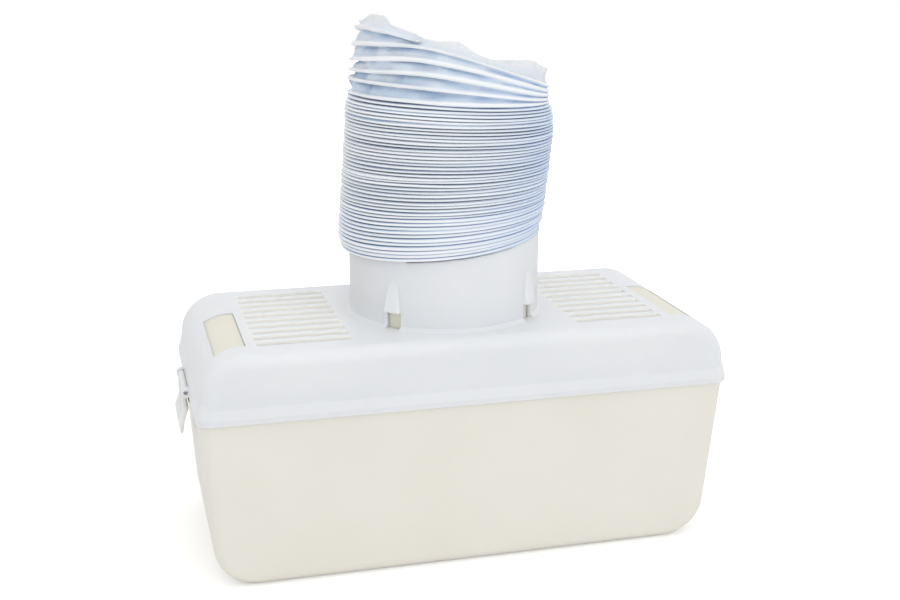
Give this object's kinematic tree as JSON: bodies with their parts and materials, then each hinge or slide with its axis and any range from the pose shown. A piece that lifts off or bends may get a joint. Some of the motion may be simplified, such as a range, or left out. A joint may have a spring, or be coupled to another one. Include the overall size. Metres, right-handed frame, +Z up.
{
  "type": "indoor condenser box with vent hose",
  "caption": "Plastic water box with a lift-off lid, end clips, grilles and a spigot carrying a packed concertina hose, condensing a vented tumble dryer's exhaust indoors.",
  "frame": {"origin": "middle of the tank's base, on the surface it stands on", "axes": "+X along the box to the right end seen from the front, -Y out of the front long side, +Z up through the spigot"},
  "size_m": [0.2858, 0.131, 0.273],
  "materials": {
    "natural_polypropylene": "milky, satin, injection-moulded",
    "white_polypropylene": "opaque white, satin, injection-moulded",
    "clip_polypropylene": "translucent, satin, injection-moulded",
    "white_hose_film": "thin white film over a wire helix"
  },
  "bodies": {
    "tank": {"tank": "natural_polypropylene"},
    "lid": {"lid": "white_polypropylene", "baffle": "natural_polypropylene", "hose_lower_turns": "white_hose_film", "hose_packed_turns": "white_hose_film"},
    "clip_left": {"clip_left": "clip_polypropylene"},
    "clip_right": {"clip_right": "clip_polypropylene"},
    "hose_end": {"hose_free_end": "white_hose_film"}
  },
  "joints": [
    {"name": "lid_lift", "type": "slide", "parent": "tank", "child": "lid", "axis": [0, 0, 1], "range_m": [0, 0.12]},
    {"name": "clip_left_hinge", "type": "hinge", "parent": "lid", "child": "clip_left", "pos_m": [-0.1389, 0, 0.0915], "axis": [0, 1, 0], "range_deg": [-8.5, 110]},
    {"name": "clip_right_hinge", "type": "hinge", "parent": "lid", "child": "clip_right", "pos_m": [0.1389, 0, 0.0915], "axis": [0, -1, 0], "range_deg": [-8.5, 110]},
    {"name": "hose_stretch", "type": "slide", "parent": "lid", "child": "hose_end", "axis": [0, 0, 1], "range_m": [0, 1.05], "deforming": ["hose_packed_turns"]}
  ]
}
